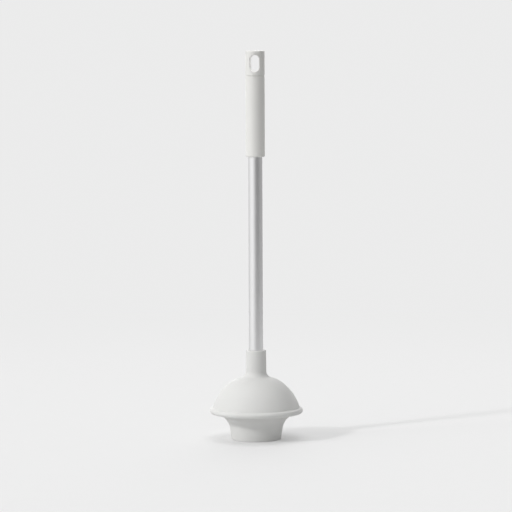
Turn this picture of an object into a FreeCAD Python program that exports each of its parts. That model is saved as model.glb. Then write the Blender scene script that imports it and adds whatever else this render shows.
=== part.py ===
"""Toilet plunger with a fold-out flange: a rubber cup on a metal tube handle with a grip and a hang cap.

Millimetres, +Z up the handle. The origin is the centre of the foot's bottom edge, where the plunger stands.
An outline is drawn in the (radius, height) plane and turned about the Z axis.
"""
import FreeCAD, Part
import math
import os

Vector = FreeCAD.Vector
AXIS = Vector(0, 0, 1)

# ---- Driving dimensions -------------------------------------------------------------------------------
overall_height = 590.0
rim_diameter = 142.1
rim_bottom = 39.4            # the rim's lower face, when the flange is out
foot_diameter = 75.6         # at the very bottom
tube_diameter = 22.0
grip_diameter = 29.2
neck_top = 136.0
grip_bottom = 429.8
cap_seam = 552.0             # middle of the groove between grip and cap

# ---- Rubber cup: bell, rim bead and neck --------------------------------------------------------------
bell_wall = 4.5
crown_radius = 51.0          # upper, rounder part of the bell
crown_centre = (10.1, 44.7)
skirt_radius = 74.5          # lower, flatter part, tangent to the crown
join_angle = 50.0            # where crown turns into skirt, above the horizontal
dome_foot_angle = 20.0       # where the bending dome ends and the firm rim starts
bead_radius = 4.4
bead_centre = (rim_diameter / 2 - bead_radius, rim_bottom + bead_radius)
crease_fillet = 1.0          # between the skirt and the top of the bead
rim_inner_fillet = 3.0
neck_top_radius = 15.2
neck_base_radius = 15.6
neck_fillet = 10.4
neck_edge = 1.2
boss_radius = 17.5           # rubber round the socket, hanging inside the bell
boss_bottom = 88.0
boss_edge = 2.0

# ---- Rubber cup: fold-out flange ----------------------------------------------------------------------
flange_wall = 3.6
foot_draft = 8.0             # lean of the foot's side, degrees
flare_radius = 26.4          # concave sweep, tangent to the foot's side and to the rim's lower face
flare_start = 180.0 - foot_draft
flare_end = 104.0            # where the bending web joins the rim
foot_edge = 1.2

# ---- Screw joint between cup and handle ---------------------------------------------------------------
pitch = 5.08                 # five turns to the inch
thread_core = 8.0
thread_crest = 9.35
crest_width = 1.9
flank_angle = 14.5
thread_clearance = 0.2
stub_bottom = 97.0
thread_bottom = 99.04        # middle of the lowest turn
thread_turns = 2.5
socket_bottom = 92.5
socket_top = 114.0
socket_floor = 2.5
socket_radius = 13.4
socket_waist = 12.2
socket_band = 4.0            # height of each full-width band, above and below the waist
socket_keys = 6
key_width = 3.0
washer_height = 1.8
washer_gap = 0.1
washer_bore = 8.3
washer_radius = 10.7
shoulder_bottom = socket_top + washer_height + 2 * washer_gap
shoulder_height = 4.0

# ---- Handle -------------------------------------------------------------------------------------------
tube_radius = tube_diameter / 2
tube_wall = 1.0
tube_bore = tube_radius - tube_wall
tube_bottom = shoulder_bottom + shoulder_height
tube_fit = 0.08              # radial clearance of the tube in the neck
neck_bore = tube_radius + tube_fit
plug_lead = 0.8              # chamfer on the plug's and the screw's ends
plug_length = 26.0           # inside the tube
plug_core = 5.0
plug_roof = 4.0              # solid height above the shoulder
pin_height = tube_bottom + 10.0
pin_radius = 1.5
pin_wall = 0.45
pin_slit = 0.8
pin_inset = 0.3              # how far each end of the pin lies below the tube's surface
pin_length = tube_diameter - 2 * pin_inset
seam_height = 1.2
seam_radius = 13.5
grip_radius = grip_diameter / 2
grip_top = cap_seam - seam_height / 2
grip_wall = 2.2
grip_lip = 3.0
grip_ribs = 6
rib_width = 1.8
grip_bottom_edge = 2.0
grip_top_edge = 0.5
tube_top = grip_top

# ---- Hang cap -----------------------------------------------------------------------------------------
cap_bottom = cap_seam + seam_height / 2
cap_top_edge = 1.6
cap_bottom_edge = 0.5
slot_width = 13.2
slot_height = 25.2
slot_middle = 571.0
slot_edge = 0.9
spigot_length = 24.0
spigot_radius = tube_bore - 0.3   # between the barbs, which fit the tube's bore
spigot_core = 6.5
spigot_barbs = 4
barb_height = 2.4
overshoot = 1.0              # how far a cutting shape runs past the face it cuts


# ---- Drawing helpers ----------------------------------------------------------------------------------
def on_circle(centre, radius, degrees):
    """The point (radius, height) on a circle, 0 degrees outward and 90 upward."""
    angle = math.radians(degrees)
    return centre[0] + radius * math.cos(angle), centre[1] + radius * math.sin(angle)


def arc(centre, radius, start, end):
    """Start, middle and end of an arc of an outline, as a list."""
    return [on_circle(centre, radius, angle) for angle in (start, (start + end) / 2, end)]


def vector(place):
    return Vector(place[0], 0, place[1])


def turned(*pieces):
    """The solid that an outline sweeps about the Z axis. A piece is a point or an arc's three points;
    straight lines join each piece to the next, and the last one to the first."""
    runs = [piece if isinstance(piece, list) else [piece] for piece in pieces]
    edges = []
    for run, following in zip(runs, runs[1:] + runs[:1]):
        if len(run) == 3:
            edges.append(Part.Arc(*[vector(place) for place in run]).toShape())
        start, end = vector(run[-1]), vector(following[0])
        if start.distanceToPoint(end) > 1e-6:
            edges.append(Part.makeLine(start, end))
    return Part.Face(Part.Wire(edges)).revolve(Vector(0, 0, 0), AXIS, 360)


def cylinder(radius, bottom, top):
    return Part.makeCylinder(radius, top - bottom, Vector(0, 0, bottom))


def ring(outer, inner, bottom, top):
    return cylinder(outer, bottom, top).cut(cylinder(inner, bottom, top))


def bar_across(radius, length, height):
    """A round bar along X, centred on the Z axis."""
    return Part.makeCylinder(radius, length, Vector(-length / 2, 0, height), Vector(1, 0, 0))


def around(shape, count):
    """Copies of a shape, evenly spaced about the Z axis."""
    copies = []
    for number in range(count):
        copy = shape.copy()
        copy.rotate(Vector(0, 0, 0), AXIS, 360.0 * number / count)
        copies.append(copy)
    return copies


def save(shape, node):
    solid = shape.Solids[0] if len(shape.Solids) == 1 else shape
    if not solid.isValid() or len(shape.Solids) != 1:
        raise ValueError(node + " is not one sound solid")
    solid.exportStep("parts/" + node + ".step")


# ---- Rubber cup ---------------------------------------------------------------------------------------
skirt_centre = on_circle(crown_centre, crown_radius - skirt_radius, join_angle)
inner_crown = crown_radius - bell_wall
inner_skirt = skirt_radius - bell_wall
inner_flare = flare_radius + flange_wall


def flare_place():
    """Centre of the flare, so that it carries on the foot's leaning side without a corner."""
    lean = math.radians(foot_draft)
    height = rim_bottom - flare_radius
    start_height = height + flare_radius * math.sin(lean)
    start_radius = foot_diameter / 2 + start_height * math.tan(lean)
    return start_radius + flare_radius * math.cos(lean), height


flare_centre = flare_place()


def neck_fillet_place():
    """Centre of the fillet between neck and crown, and the crown's angle where it starts."""
    outward = neck_base_radius + neck_fillet - crown_centre[0]
    upward = math.sqrt((crown_radius + neck_fillet) ** 2 - outward ** 2)
    centre = (crown_centre[0] + outward, crown_centre[1] + upward)
    return centre, math.degrees(math.atan2(upward, outward))


fillet_centre, crown_top_angle = neck_fillet_place()


def crease_place():
    """Centre of the small fillet between skirt and bead, and the angles where it leaves each of them."""
    outward = bead_centre[0] - skirt_centre[0]
    upward = bead_centre[1] - skirt_centre[1]
    apart = math.hypot(outward, upward)
    from_skirt = skirt_radius + crease_fillet
    from_bead = bead_radius + crease_fillet
    along = (apart ** 2 + from_skirt ** 2 - from_bead ** 2) / (2 * apart)
    skirt_angle = math.degrees(math.atan2(upward, outward) + math.acos(along / from_skirt))
    centre = on_circle(skirt_centre, from_skirt, skirt_angle)
    bead_angle = math.degrees(math.atan2(centre[1] - bead_centre[1], centre[0] - bead_centre[0]))
    return centre, skirt_angle, bead_angle


def cup_neck(socket):
    """The neck, its fillet and the boss that holds the socket, bored for the tube."""
    boss_angle = math.degrees(math.acos((boss_radius - crown_centre[0]) / inner_crown))
    body = turned(
        (0, boss_bottom),
        arc((boss_radius - boss_edge, boss_bottom + boss_edge), boss_edge, -90, 0),
        arc(crown_centre, inner_crown, boss_angle, crown_top_angle),
        arc(fillet_centre, neck_fillet, 180 + crown_top_angle, 180),
        arc((neck_top_radius - neck_edge, neck_top - neck_edge), neck_edge, 0, 90),
        (0, neck_top),
    )
    bore = cylinder(neck_bore, socket_top, neck_top + overshoot)
    filled_socket = socket.fuse(cylinder(socket_waist, socket_bottom, socket_top))
    return body.cut(bore).cut(filled_socket)


def cup_dome():
    """The part of the bell that gives way when the handle is pushed."""
    return turned(
        arc(crown_centre, crown_radius, crown_top_angle, join_angle),
        arc(skirt_centre, skirt_radius, join_angle, dome_foot_angle),
        arc(skirt_centre, inner_skirt, dome_foot_angle, join_angle),
        arc(crown_centre, inner_crown, join_angle, crown_top_angle),
    )


def cup_rim():
    """The firm rim: the foot of the bell with its sealing bead, out to where the flange starts."""
    web_top = on_circle(flare_centre, inner_flare, flare_end)
    fillet_height = web_top[1] + rim_inner_fillet
    inner_angle = math.degrees(math.asin((fillet_height - skirt_centre[1]) / inner_skirt))
    fillet_end = on_circle(skirt_centre, inner_skirt, inner_angle)
    inner_fillet_centre = (fillet_end[0] - rim_inner_fillet, fillet_height)
    crease_centre, skirt_angle, bead_angle = crease_place()
    return turned(
        arc(skirt_centre, skirt_radius, dome_foot_angle, skirt_angle),
        arc(crease_centre, crease_fillet, 180 + skirt_angle, 180 + bead_angle),
        arc(bead_centre, bead_radius, bead_angle, -90),
        arc(flare_centre, flare_radius, 90, flare_end),
        web_top,
        arc(inner_fillet_centre, rim_inner_fillet, -90, 0),
        arc(skirt_centre, inner_skirt, inner_angle, dome_foot_angle),
    )


def flange_web():
    """The part of the flange that rolls inside out when the flange is folded away."""
    return turned(
        arc(flare_centre, flare_radius, flare_end, flare_start),
        arc(flare_centre, inner_flare, flare_start, flare_end),
    )


def flange_foot():
    """The foot that goes into the drain, and that the plunger stands on."""
    outer_bottom = foot_diameter / 2
    inner_bottom = outer_bottom - flange_wall / math.cos(math.radians(foot_draft))
    return turned(
        on_circle(flare_centre, flare_radius, flare_start),
        arc((outer_bottom - foot_edge, foot_edge), foot_edge, -foot_draft, -90),
        arc((inner_bottom + foot_edge, foot_edge), foot_edge, -90, -180 - foot_draft),
        on_circle(flare_centre, inner_flare, flare_start),
    )


# ---- Screw joint --------------------------------------------------------------------------------------
def thread_ridge(core, crest, tip_width, bottom, turns, start_angle):
    """A helical ridge with a trapezoid section, its root sunk a little into the core."""
    sunk = core - thread_clearance
    root_width = tip_width + 2 * (crest - sunk) * math.tan(math.radians(flank_angle))
    path = Part.makeHelix(pitch, pitch * turns, sunk)
    lower = [(sunk, -root_width / 2), (crest, -tip_width / 2)]
    upper = [(crest, tip_width / 2), (sunk, root_width / 2)]
    section = Part.makePolygon([vector(corner) for corner in lower + upper + lower[:1]])
    ridge = Part.Wire(path.Edges).makePipeShell([section], True, True)
    ridge.translate(Vector(0, 0, bottom))
    ridge.rotate(Vector(0, 0, 0), AXIS, start_angle)
    return ridge


def threaded_socket():
    """The hard socket moulded into the neck: two bands, a keyed waist and an internal thread."""
    bands = [
        cylinder(socket_radius, socket_bottom, socket_bottom + socket_band),
        cylinder(socket_radius, socket_top - socket_band, socket_top),
    ]
    socket_height = socket_top - socket_bottom
    key = Part.makeBox(socket_radius, key_width, socket_height, Vector(0, -key_width / 2, socket_bottom))
    outside = cylinder(socket_waist, socket_bottom, socket_top).multiFuse(bands + around(key, socket_keys))
    outside = outside.common(cylinder(socket_radius, socket_bottom, socket_top))
    groove_bottom = thread_bottom - pitch / 2
    groove_turns = (socket_top - groove_bottom) / pitch + 0.5
    groove = thread_ridge(
        thread_core + thread_clearance,
        thread_crest + thread_clearance,
        crest_width + 2 * thread_clearance,
        groove_bottom,
        groove_turns,
        180,
    )
    bore = cylinder(thread_core + thread_clearance, socket_bottom + socket_floor, socket_top + overshoot)
    return outside.cut(bore).cut(groove).removeSplitter()


def seal_washer():
    """The rubber washer under the plug's shoulder, which keeps dirty water out of the thread."""
    bottom = socket_top + washer_gap
    return ring(washer_radius, washer_bore, bottom, bottom + washer_height)


def end_plug():
    """The plug pressed into the tube's lower end, with the shoulder and the screw below it."""
    plug_top = tube_bottom + plug_length
    body = turned(
        (0, stub_bottom),
        (thread_core - plug_lead, stub_bottom),
        (thread_core, stub_bottom + plug_lead),
        (thread_core, shoulder_bottom),
        (tube_radius, shoulder_bottom),
        (tube_radius, tube_bottom),
        (tube_bore, tube_bottom),
        (tube_bore, plug_top - plug_lead),
        (tube_bore - plug_lead, plug_top),
        (plug_core, plug_top),
        (plug_core, tube_bottom + plug_roof),
        (0, tube_bottom + plug_roof),
    )
    ridge = thread_ridge(thread_core, thread_crest, crest_width, thread_bottom, thread_turns, 0)
    return body.fuse(ridge).cut(bar_across(pin_radius, tube_diameter + overshoot, pin_height))


def plug_pin():
    """The slotted spring pin that locks tube and plug together."""
    pin = bar_across(pin_radius, pin_length, pin_height)
    bore = bar_across(pin_radius - pin_wall, pin_length, pin_height)
    slit = Part.makeBox(pin_length, pin_slit, pin_radius, Vector(-pin_length / 2, -pin_slit / 2, pin_height))
    return pin.cut(bore).cut(slit)


# ---- Handle -------------------------------------------------------------------------------------------
def handle_tube():
    """The bare metal tube, drilled through for the pin."""
    tube = ring(tube_radius, tube_bore, tube_bottom, tube_top)
    return tube.cut(bar_across(pin_radius, tube_diameter + overshoot, pin_height))


def grip_sleeve():
    """The round sleeve over the tube: a thin wall with a lip at each end and ribs along the tube."""
    shell = turned(
        arc((grip_radius - grip_bottom_edge, grip_bottom + grip_bottom_edge), grip_bottom_edge, -90, 0),
        arc((grip_radius - grip_top_edge, grip_top - grip_top_edge), grip_top_edge, 0, 90),
        (tube_radius, grip_top),
        (tube_radius, grip_bottom),
    )
    hollow = ring(grip_radius - grip_wall, tube_radius, grip_bottom + grip_lip, grip_top - grip_lip)
    grip_length = grip_top - grip_bottom
    rib = Part.makeBox(grip_radius, rib_width, grip_length, Vector(0, -rib_width / 2, grip_bottom))
    return shell.cut(hollow.cut(Part.makeCompound(around(rib, grip_ribs))))


def slot_cutter():
    """The long rounded slot, running through along Y."""
    depth = grip_diameter + 2 * overshoot
    straight = slot_height - slot_width
    corner = Vector(-slot_width / 2, -depth / 2, slot_middle - straight / 2)
    cutter = Part.makeBox(slot_width, depth, straight, corner)
    for side in (-1, 1):
        end = Vector(0, -depth / 2, slot_middle + side * straight / 2)
        cutter = cutter.fuse(Part.makeCylinder(slot_width / 2, depth, end, Vector(0, 1, 0)))
    return cutter.removeSplitter()


def cap_knob():
    """The cap that shows above the grip, with the slot through it and the slot's edges rounded."""
    knob = turned(
        (0, cap_bottom),
        arc((grip_radius - cap_bottom_edge, cap_bottom + cap_bottom_edge), cap_bottom_edge, -90, 0),
        arc((grip_radius - cap_top_edge, overall_height - cap_top_edge), cap_top_edge, 0, 90),
        (0, overall_height),
    ).cut(slot_cutter())
    nearly = 1.01
    slot_edges = [
        edge
        for edge in knob.Edges
        if abs(edge.CenterOfMass.z - slot_middle) < nearly * slot_height / 2
        and edge.BoundBox.XLength < nearly * slot_width
        and abs(edge.CenterOfMass.x) < nearly * slot_width / 2
        and abs(edge.CenterOfMass.y) > grip_radius / 2
    ]
    return knob.makeFillet(slot_edge, slot_edges)


def hang_cap():
    """The end cap with its hanging slot, on a barbed hollow spigot that goes into the tube."""
    spigot_bottom = grip_top - spigot_length
    pieces = [
        cylinder(seam_radius, grip_top, cap_bottom),
        cylinder(spigot_radius, spigot_bottom, grip_top),
    ]
    barb_spacing = spigot_length / (spigot_barbs + 1)
    for number in range(1, spigot_barbs + 1):
        middle = grip_top - barb_spacing * number
        pieces.append(cylinder(tube_bore, middle - barb_height / 2, middle + barb_height / 2))
    core = cylinder(spigot_core, spigot_bottom - overshoot, cap_bottom)
    return cap_knob().multiFuse(pieces).cut(core)


# ---- Every node, one STEP file each -------------------------------------------------------------------
os.makedirs("parts", exist_ok=True)
socket = threaded_socket()
save(cup_neck(socket), "cup_neck")
save(cup_dome(), "cup_dome")
save(cup_rim(), "cup_rim")
save(flange_web(), "flange_web")
save(flange_foot(), "flange_foot")
save(socket, "threaded_socket")
save(seal_washer(), "seal_washer")
save(end_plug(), "end_plug")
save(plug_pin(), "plug_pin")
save(handle_tube(), "handle_tube")
save(grip_sleeve(), "grip_sleeve")
save(hang_cap(), "hang_cap")
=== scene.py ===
"""Looks of the toilet plunger: one continuous rubber cup and flange, satin tube, grip and cap, plain studio.
Lengths are in metres and angles in degrees, unless a line turns them into radians."""
import math

import bmesh
import bpy
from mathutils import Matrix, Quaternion, Vector


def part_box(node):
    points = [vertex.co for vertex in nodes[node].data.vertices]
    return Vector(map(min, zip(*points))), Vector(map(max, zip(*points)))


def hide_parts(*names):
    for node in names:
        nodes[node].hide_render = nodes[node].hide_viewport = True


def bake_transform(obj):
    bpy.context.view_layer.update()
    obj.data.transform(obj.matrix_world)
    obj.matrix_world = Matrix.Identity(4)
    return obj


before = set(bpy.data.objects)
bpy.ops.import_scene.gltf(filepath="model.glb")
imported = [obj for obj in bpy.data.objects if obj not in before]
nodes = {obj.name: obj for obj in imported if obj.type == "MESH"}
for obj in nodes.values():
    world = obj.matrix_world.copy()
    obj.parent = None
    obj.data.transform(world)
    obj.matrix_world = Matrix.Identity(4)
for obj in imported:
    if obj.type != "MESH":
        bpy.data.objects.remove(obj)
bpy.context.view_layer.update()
MM = 0.001

# ---- Sizes of the rubber, worked out from the frame and a few wall and arc sizes -------------------------
rim_low, rim_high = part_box("cup_rim")
neck_low, neck_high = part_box("cup_neck")
socket_low, socket_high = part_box("threaded_socket")
foot_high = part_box("flange_foot")[1]
tube_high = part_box("handle_tube")[1]

rim_radius = rim_high[0]
neck_top = neck_high[2]
boss_bottom = neck_low[2]
tube_radius = tube_high[0]

bell_wall = 4.5 * MM
crown_radius = 51.0 * MM
crown_centre = (10.1 * MM, 44.7 * MM)
skirt_radius = 74.5 * MM
join_angle = 50.0            # where the crown's arc becomes the skirt's
bead_radius = 4.4 * MM
crease_fillet = 1.0 * MM
flash_height = 0.12 * MM     # the mould's parting line, round the bead's widest line
flash_base = 6.0             # half its width at the bead's surface, degrees
flash_tip = 2.0              # half its width at the top, degrees
rim_inner_fillet = 3.0 * MM
neck_top_radius = 15.2 * MM
neck_base_radius = 15.6 * MM
neck_fillet = 10.4 * MM
neck_edge = 1.2 * MM
bore_edge = 0.5 * MM
bore_gap = 0.08 * MM
bore_radius = tube_radius + bore_gap
boss_radius = 17.5 * MM
boss_edge = 2.0 * MM
flange_wall = 3.6 * MM
foot_draft = 8.0
foot_edge = 1.2 * MM
flare_radius = 26.4 * MM
flare_start = 180.0 - foot_draft
flare_end = 104.0
let_in = 2.0                 # how far the flange's arc runs on into the rim, degrees

draft = math.radians(foot_draft)
rim_bottom = rim_low[2] + flare_radius * (1 - math.sin(math.radians(flare_end)))
flare_centre = (foot_high[0] + flare_radius * math.cos(draft), rim_bottom - flare_radius)
foot_top = flare_centre[1] + flare_radius * math.sin(draft)
foot_radius = foot_high[0] - foot_top * math.tan(draft)
bead_centre = (rim_radius - bead_radius, rim_bottom + bead_radius)

# ---- Fineness of the meshes ------------------------------------------------------------------------------
long_step = 2.0 * MM         # between the points of an outline, on the wide arcs and straights
flare_step = 1.5 * MM
fillet_step = 1.0 * MM
bead_step = 0.6 * MM
crease_step = 0.3 * MM
most_turn = 12               # the most that one step of an arc turns, degrees
same_place = 0.02 * MM       # points closer than this are one
on_axis = 0.01 * MM


# ---- Lathe helpers ---------------------------------------------------------------------------------------
def on_circle(centre, radius, degrees):
    """The point (radius, height) on a circle, 0 degrees outward and 90 upward."""
    angle = math.radians(degrees)
    return centre[0] + radius * math.cos(angle), centre[1] + radius * math.sin(angle)


def arc(centre, radius, start, end, spacing=long_step):
    """Points along an arc of an outline, about one spacing apart, both ends kept."""
    turn = abs(end - start)
    count = max(math.ceil(math.radians(turn) * radius / spacing), math.ceil(turn / most_turn), 1)
    return [on_circle(centre, radius, start + (end - start) * number / count) for number in range(count + 1)]


def straight(start, end):
    """Points along a straight stretch, both ends left out."""
    count = max(math.ceil(math.dist(start, end) / long_step), 1)
    return [
        tuple(a + (b - a) * number / count for a, b in zip(start, end)) for number in range(1, count)
    ]


def joined(*runs):
    """One outline from several runs of points, with the straight stretches between them filled in."""
    outline = list(runs[0])
    for run in runs[1:]:
        outline += straight(outline[-1], run[0])
        outline += [place for place in run if math.dist(place, outline[-1]) > same_place]
    return outline


def lathe(name, outline, closed, around=192):
    """A mesh turned about the Z axis. A closed outline is a ring's section. An open one can start or end on
    the axis, where its ring is a single point."""
    mesh = bmesh.new()
    turns = [2 * math.pi * number / around for number in range(around)]
    rings = []
    for radius, height in outline:
        if radius < on_axis:
            places = [(0, 0, height)]
        else:
            places = [(radius * math.cos(turn), radius * math.sin(turn), height) for turn in turns]
        rings.append([mesh.verts.new(place) for place in places])
    following = rings[1:] + (rings[:1] if closed else [])
    for lower, upper in zip(rings, following):
        for number in range(around):
            after = (number + 1) % around
            corners = [
                lower[number % len(lower)],
                lower[after % len(lower)],
                upper[after % len(upper)],
                upper[number % len(upper)],
            ]
            mesh.faces.new(list(dict.fromkeys(corners)))
    bmesh.ops.recalc_face_normals(mesh, faces=mesh.faces)
    data = bpy.data.meshes.new(name)
    mesh.to_mesh(data)
    mesh.free()
    data.shade_smooth()
    piece = bpy.data.objects.new(name, data)
    bpy.context.scene.collection.objects.link(piece)
    return piece


# ---- Rubber cup ------------------------------------------------------------------------------------------
skirt_centre = on_circle(crown_centre, crown_radius - skirt_radius, join_angle)


def neck_fillet_place():
    """Centre of the fillet between neck and crown, and the crown's angle where it starts."""
    outward = neck_base_radius + neck_fillet - crown_centre[0]
    upward = math.sqrt((crown_radius + neck_fillet) ** 2 - outward**2)
    return (crown_centre[0] + outward, crown_centre[1] + upward), math.degrees(math.atan2(upward, outward))


def crease_place():
    """Centre of the small fillet between skirt and bead, and the angles where it leaves each of them."""
    outward = bead_centre[0] - skirt_centre[0]
    upward = bead_centre[1] - skirt_centre[1]
    apart = math.hypot(outward, upward)
    from_skirt = skirt_radius + crease_fillet
    from_bead = bead_radius - flash_height + crease_fillet
    along = (apart**2 + from_skirt**2 - from_bead**2) / (2 * apart)
    skirt_angle = math.degrees(math.atan2(upward, outward) + math.acos(along / from_skirt))
    centre = on_circle(skirt_centre, from_skirt, skirt_angle)
    bead_angle = math.degrees(math.atan2(centre[1] - bead_centre[1], centre[0] - bead_centre[0]))
    return centre, skirt_angle, bead_angle


def cup_bell():
    """Neck, bell and rim bead as one skin, hollow below and bored for the socket and the tube."""
    fillet_centre, crown_top_angle = neck_fillet_place()
    crease_centre, skirt_angle, bead_angle = crease_place()
    bead_surface = bead_radius - flash_height
    inner_crown = crown_radius - bell_wall
    inner_skirt = skirt_radius - bell_wall
    boss_angle = math.degrees(math.acos((boss_radius - crown_centre[0]) / inner_crown))
    web_top = on_circle(flare_centre, flare_radius + flange_wall, flare_end)
    corner_height = web_top[1] + rim_inner_fillet
    inner_end = math.degrees(math.asin((corner_height - skirt_centre[1]) / inner_skirt))
    corner_centre = (on_circle(skirt_centre, inner_skirt, inner_end)[0] - rim_inner_fillet, corner_height)
    outline = joined(
        [(0, socket_low[2])],
        [(socket_high[0], socket_low[2])],
        [(socket_high[0], socket_high[2])],
        [(bore_radius, socket_high[2])],
        arc((bore_radius + bore_edge, neck_top - bore_edge), bore_edge, 180, 90),
        arc((neck_top_radius - neck_edge, neck_top - neck_edge), neck_edge, 90, 0),
        arc(fillet_centre, neck_fillet, 180, 180 + crown_top_angle, fillet_step),
        arc(crown_centre, crown_radius, crown_top_angle, join_angle),
        arc(skirt_centre, skirt_radius, join_angle, skirt_angle),
        arc(crease_centre, crease_fillet, 180 + skirt_angle, 180 + bead_angle, crease_step),
        arc(bead_centre, bead_surface, bead_angle, flash_base, bead_step),
        arc(bead_centre, bead_radius, flash_tip, -flash_tip),
        arc(bead_centre, bead_surface, -flash_base, -90, bead_step),
        arc(flare_centre, flare_radius, 90, flare_end),
        [web_top],
        arc(corner_centre, rim_inner_fillet, -90, 0),
        arc(skirt_centre, inner_skirt, inner_end, join_angle),
        arc(crown_centre, inner_crown, join_angle, boss_angle),
        [(boss_radius, boss_bottom + boss_edge)],
        arc((boss_radius - boss_edge, boss_bottom + boss_edge), boss_edge, 0, -90),
        [(0, boss_bottom)],
    )
    return lathe("cup_bell", outline, closed=False)


def cup_flange():
    """The fold-out flange: the foot and the web that sweeps up to the rim, let a little into it."""
    inner_radius = flare_radius + flange_wall
    inner_bottom = foot_radius - flange_wall / math.cos(draft)
    outline = joined(
        arc(flare_centre, flare_radius, flare_end - let_in, flare_start, flare_step),
        arc((foot_radius - foot_edge, foot_edge), foot_edge, -foot_draft, -90),
        arc((inner_bottom + foot_edge, foot_edge), foot_edge, -90, -180 - foot_draft),
        arc(flare_centre, inner_radius, flare_start, flare_end - let_in, flare_step),
    )
    return lathe("cup_flange", outline, closed=True)


# ---- Shader helpers --------------------------------------------------------------------------------------
def new_material(name):
    """A new material, its node tree and its Principled shader."""
    material = bpy.data.materials.new(name)
    material.use_nodes = True
    tree = material.node_tree
    return material, tree, tree.nodes["Principled BSDF"]


def stretched(tree, scale=(1, 1, 1)):
    """Object coordinates, stretched by a scale along each axis."""
    place = tree.nodes.new("ShaderNodeTexCoord")
    mapping = tree.nodes.new("ShaderNodeMapping")
    mapping.inputs["Scale"].default_value = scale
    tree.links.new(place.outputs["Object"], mapping.inputs["Vector"])
    return mapping.outputs["Vector"]


def noise(tree, place, scale, detail, roughness=0.5):
    """Cloudy noise, mostly between 0.3 and 0.7, with this many repeats in a metre."""
    node = tree.nodes.new("ShaderNodeTexNoise")
    node.inputs["Scale"].default_value = scale
    node.inputs["Detail"].default_value = detail
    node.inputs["Roughness"].default_value = roughness
    tree.links.new(place, node.inputs["Vector"])
    return node.outputs["Fac"]


def spread(tree, factor, low=0.0, high=1.0):
    """Noise spread out from its usual range to low and high."""
    node = tree.nodes.new("ShaderNodeMapRange")
    node.inputs["From Min"].default_value = 0.3
    node.inputs["From Max"].default_value = 0.7
    node.inputs["To Min"].default_value = low
    node.inputs["To Max"].default_value = high
    tree.links.new(factor, node.inputs["Value"])
    return node.outputs["Result"]


def smooth_step(tree, value, low, high):
    """0 at low and before, 1 at high and after, smooth between."""
    node = tree.nodes.new("ShaderNodeMapRange")
    node.interpolation_type = "SMOOTHSTEP"
    node.inputs["From Min"].default_value = low
    node.inputs["From Max"].default_value = high
    tree.links.new(value, node.inputs["Value"])
    return node.outputs["Result"]


def colours(tree, factor, low, high):
    """A colour between low and high."""
    node = tree.nodes.new("ShaderNodeMix")
    node.data_type = "RGBA"
    tree.links.new(factor, node.inputs["Factor"])
    node.inputs["A"].default_value = (*low, 1)
    node.inputs["B"].default_value = (*high, 1)
    return node.outputs["Result"]


def mixed(tree, first, second, share):
    """Two values mixed, with this share of the second."""
    node = tree.nodes.new("ShaderNodeMix")
    node.inputs["Factor"].default_value = share
    tree.links.new(first, node.inputs["A"])
    tree.links.new(second, node.inputs["B"])
    return node.outputs["Result"]


def bump(tree, height, strength, distance, normal=None):
    """Relief from a height, on top of an earlier relief if one is given."""
    node = tree.nodes.new("ShaderNodeBump")
    node.inputs["Strength"].default_value = strength
    node.inputs["Distance"].default_value = distance
    if normal is not None:
        tree.links.new(normal, node.inputs["Normal"])
    tree.links.new(height, node.inputs["Height"])
    return node.outputs["Normal"]


def for_camera(tree, seen, otherwise):
    """A value that the camera sees, and another one that lights everything else. Either is a number or a
    node's output."""
    node = tree.nodes.new("ShaderNodeMix")
    rays = tree.nodes.new("ShaderNodeLightPath")
    tree.links.new(rays.outputs["Is Camera Ray"], node.inputs["Factor"])
    for socket, value in (("A", otherwise), ("B", seen)):
        if isinstance(value, float):
            node.inputs[socket].default_value = value
        else:
            tree.links.new(value, node.inputs[socket])
    return node.outputs["Result"]


# ---- Materials -------------------------------------------------------------------------------------------
def rubber():
    """Matt light-grey rubber: faint cloudiness, a fine blasted grain, a slight unevenness from the mould."""
    material, tree, shader = new_material("cup_rubber")
    place = stretched(tree)
    cloud = spread(tree, noise(tree, place, scale=26, detail=4))
    speck = spread(tree, noise(tree, place, scale=2400, detail=2))
    tone = mixed(tree, cloud, speck, share=0.4)
    colour = colours(tree, tone, (0.650, 0.650, 0.637), (0.690, 0.690, 0.677))
    roughness = spread(tree, noise(tree, place, scale=70, detail=3), low=0.56, high=0.70)
    uneven = bump(tree, noise(tree, place, scale=160, detail=2), strength=0.10, distance=0.6 * MM)
    grain = bump(tree, noise(tree, place, scale=3200, detail=2), 0.25, 0.1 * MM, normal=uneven)
    tree.links.new(colour, shader.inputs["Base Color"])
    tree.links.new(roughness, shader.inputs["Roughness"])
    tree.links.new(grain, shader.inputs["Normal"])
    shader.inputs["Specular IOR Level"].default_value = 0.35
    return material


def moulded_plastic(name):
    """Satin warm off-white plastic with a faint spark-eroded texture."""
    material, tree, shader = new_material(name)
    place = stretched(tree)
    cloud = spread(tree, noise(tree, place, scale=22, detail=3))
    colour = colours(tree, cloud, (0.775, 0.772, 0.746), (0.795, 0.792, 0.766))
    roughness = spread(tree, noise(tree, place, scale=90, detail=3), low=0.32, high=0.40)
    grain = bump(tree, noise(tree, place, scale=3600, detail=2), strength=0.20, distance=0.06 * MM)
    tree.links.new(colour, shader.inputs["Base Color"])
    tree.links.new(roughness, shader.inputs["Roughness"])
    tree.links.new(grain, shader.inputs["Normal"])
    shader.inputs["Specular IOR Level"].default_value = 0.9
    return material


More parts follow.
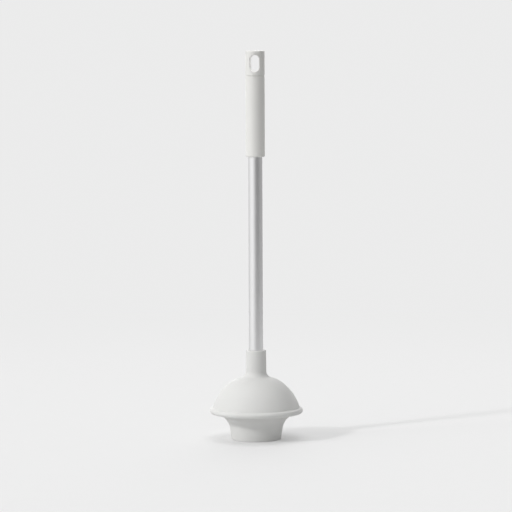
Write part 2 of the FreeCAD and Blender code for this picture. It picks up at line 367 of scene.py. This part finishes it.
def drawn_metal():
    """Satin anodised aluminium with the faint fine lines of drawing along the tube."""
    material, tree, shader = new_material("tube_metal")
    along_tube = stretched(tree, scale=(1, 1, 0.004))
    lines = noise(tree, along_tube, scale=5000, detail=3, roughness=0.6)
    cloud = noise(tree, stretched(tree, scale=(1, 1, 0.3)), scale=60, detail=3)
    colour = colours(tree, spread(tree, lines), (0.83, 0.83, 0.83), (0.86, 0.86, 0.865))
    roughness = spread(tree, mixed(tree, lines, cloud, share=0.5), low=0.28, high=0.34)
    tree.links.new(colour, shader.inputs["Base Color"])
    tree.links.new(roughness, shader.inputs["Roughness"])
    shader.inputs["Metallic"].default_value = 1.0
    return material


def plain(name, colour, roughness, metallic=0.0):
    """A hidden piece's finish: one colour with a faint grain, up to a tenth darker at random."""
    material, tree, shader = new_material(name)
    grain = noise(tree, stretched(tree), scale=300, detail=3)
    darker = tuple(0.9 * part for part in colour)
    tree.links.new(colours(tree, grain, darker, colour), shader.inputs["Base Color"])
    shader.inputs["Roughness"].default_value = roughness
    shader.inputs["Metallic"].default_value = metallic
    return material


def paint(node, material, sharp_angle=35):
    """A CAD node's finish. Edges that turn by more than the sharp angle stay crisp."""
    data = nodes[node].data
    data.materials.clear()
    data.materials.append(material)
    data.shade_smooth()
    data.set_sharp_from_angle(angle=math.radians(sharp_angle))


# ---- Studio ----------------------------------------------------------------------------------------------
backdrop = 0.835             # brightness of the even backdrop behind everything
floor_rings = (0, 0.5, 1.5, 2.5)
floor_fade = (0.6, 1.9)      # where the floor starts to fade into the backdrop, and where it has gone
panel_core = 4               # half width of a light panel's bright middle, degrees
side_elevation = 12
side_reach = 40              # how far from its middle a side panel's light ends, degrees
overhead_reach = 45
overhead_brightness = 1.90

# The side panels' brightness by azimuth: a wide window on the left, a weak fill on the right, one strong
# panel behind.
side_panels = {
    -150: 0.35, -120: 0.50, -90: 0.65, -60: 0.70, -30: 0.65, 0: 0.25,
    30: 0.15, 60: 0.20, 90: 0.30, 120: 0.30, 150: 0.25, 180: 1.90,
}


def towards(azimuth, elevation):
    """The direction of a place in the studio. Azimuth 0 is in front of the plunger, 90 on its right."""
    a, e = math.radians(azimuth), math.radians(elevation)
    return Vector((math.sin(a) * math.cos(e), -math.cos(a) * math.cos(e), math.sin(e)))


def shader_mix(tree, factor, first, second):
    """Two shaders mixed, with this share of the second."""
    node = tree.nodes.new("ShaderNodeMixShader")
    tree.links.new(factor, node.inputs["Fac"])
    tree.links.new(first, node.inputs[1])
    tree.links.new(second, node.inputs[2])
    return node.outputs["Shader"]


def faded(tree, surface):
    """A surface round the middle. Further out the camera sees the even backdrop, so that no edge shows, and
    all other light goes through."""
    place = tree.nodes.new("ShaderNodeTexCoord")
    distance = tree.nodes.new("ShaderNodeVectorMath")
    distance.operation = "LENGTH"
    tree.links.new(place.outputs["Object"], distance.inputs[0])
    nothing = tree.nodes.new("ShaderNodeBsdfTransparent").outputs["BSDF"]
    even = tree.nodes.new("ShaderNodeEmission")
    even.inputs["Strength"].default_value = backdrop
    camera_ray = tree.nodes.new("ShaderNodeLightPath").outputs["Is Camera Ray"]
    outside = shader_mix(tree, camera_ray, nothing, even.outputs["Emission"])
    return shader_mix(tree, smooth_step(tree, distance.outputs["Value"], *floor_fade), surface, outside)


def paper(lift, glow):
    """Pale paper, lit a little from below, which lifts the shadows on it: by lift as it is seen, and by glow
    in the light that it gives back."""
    material, tree, shader = new_material("studio_paper")
    grain = noise(tree, stretched(tree), scale=40, detail=3)
    colour = colours(tree, grain, (0.625, 0.625, 0.625), (0.635, 0.635, 0.635))
    tree.links.new(colour, shader.inputs["Base Color"])
    shader.inputs["Roughness"].default_value = 0.9
    shader.inputs["Specular IOR Level"].default_value = 0.1
    shader.inputs["Emission Color"].default_value = (1, 1, 1, 1)
    tree.links.new(for_camera(tree, lift, glow), shader.inputs["Emission Strength"])
    tree.links.new(faded(tree, shader.outputs["BSDF"]), tree.nodes["Material Output"].inputs["Surface"])
    return material


def studio_floor(material):
    """The round floor that the plunger stands on."""
    floor = lathe("studio_floor", [(radius, 0) for radius in floor_rings], closed=False)
    floor.data.materials.append(material)


def key_light(name, azimuth, elevation, size, strength):
    """A distant round light, its size in degrees across, which lights the floor evenly."""
    light = bpy.data.lights.new(name, "SUN")
    light.angle = math.radians(size)
    light.energy = strength
    lamp = bpy.data.objects.new(name, light)
    lamp.rotation_euler = towards(azimuth, elevation).to_track_quat("Z", "Y").to_euler()
    bpy.context.scene.collection.objects.link(lamp)


def add_panel(tree, place, total, azimuth, elevation, reach, brightness):
    """The light so far, with one soft round panel more."""
    dot = tree.nodes.new("ShaderNodeVectorMath")
    dot.operation = "DOT_PRODUCT"
    dot.inputs[1].default_value = towards(azimuth, elevation)
    tree.links.new(place, dot.inputs[0])
    edge, core = math.cos(math.radians(reach)), math.cos(math.radians(panel_core))
    added = tree.nodes.new("ShaderNodeMath")
    added.operation = "MULTIPLY_ADD"
    added.inputs[1].default_value = brightness
    added.inputs[2].default_value = 0.0
    tree.links.new(smooth_step(tree, dot.outputs["Value"], edge, core), added.inputs[0])
    if total is not None:
        tree.links.new(total, added.inputs[2])
    return added.outputs["Value"]


def studio_world():
    """Soft light from panels all round and one overhead, and an even backdrop behind everything."""
    world = bpy.data.worlds.new("studio")
    world.use_nodes = True
    tree = world.node_tree
    place = tree.nodes.new("ShaderNodeTexCoord").outputs["Generated"]
    total = None
    for azimuth, brightness in side_panels.items():
        total = add_panel(tree, place, total, azimuth, side_elevation, side_reach, brightness)
    total = add_panel(tree, place, total, 0, 90, overhead_reach, overhead_brightness)
    background = tree.nodes["Background"]
    background.inputs["Color"].default_value = (1, 1, 1, 1)
    tree.links.new(for_camera(tree, backdrop, total), background.inputs["Strength"])
    bpy.context.scene.world = world


def camera():
    """A long lens from far away, a little above the handle's top and a few degrees right of the slot's axis."""
    distance = 4.285
    height = 0.639
    azimuth = math.radians(4)
    target = Vector((0.0004, 0, 0.2794))
    roll = Quaternion((0, 0, 1), math.radians(-0.2))
    data = bpy.data.cameras.new("camera")
    data.sensor_width = 36
    data.lens = 199.4
    data.clip_end = 50
    eye = bpy.data.objects.new("camera", data)
    eye.location = (distance * math.sin(azimuth), -distance * math.cos(azimuth), height)
    eye.rotation_euler = ((target - eye.location).to_track_quat("-Z", "Y") @ roll).to_euler()
    bpy.context.scene.collection.objects.link(eye)
    bpy.context.scene.camera = eye


# ---- Putting it together ---------------------------------------------------------------------------------
camera()
studio_world()
key_light("key_front", azimuth=-50, elevation=32, size=5, strength=0.95)
key_light("key_side", azimuth=-68, elevation=36, size=10, strength=0.25)
studio_floor(paper(lift=0.175, glow=0.09))

rubber_material = rubber()
bell = cup_bell()
flange = cup_flange()
for piece in (bell, flange):
    piece.data.materials.append(rubber_material)
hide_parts("cup_neck", "cup_dome", "cup_rim")
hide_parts("flange_web", "flange_foot")
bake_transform(bell)
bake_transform(flange)

paint("handle_tube", drawn_metal())
paint("grip_sleeve", moulded_plastic("grip_plastic"))
paint("hang_cap", moulded_plastic("cap_plastic"))
paint("threaded_socket", plain("joint_plastic", (0.55, 0.55, 0.53), roughness=0.5))
paint("end_plug", plain("joint_plastic_plug", (0.55, 0.55, 0.53), roughness=0.5))
paint("seal_washer", plain("washer_rubber", (0.03, 0.03, 0.03), roughness=0.7))
paint("plug_pin", plain("pin_steel", (0.5, 0.5, 0.5), roughness=0.35, metallic=1.0))

bpy.context.scene.view_settings.view_transform = "Standard"
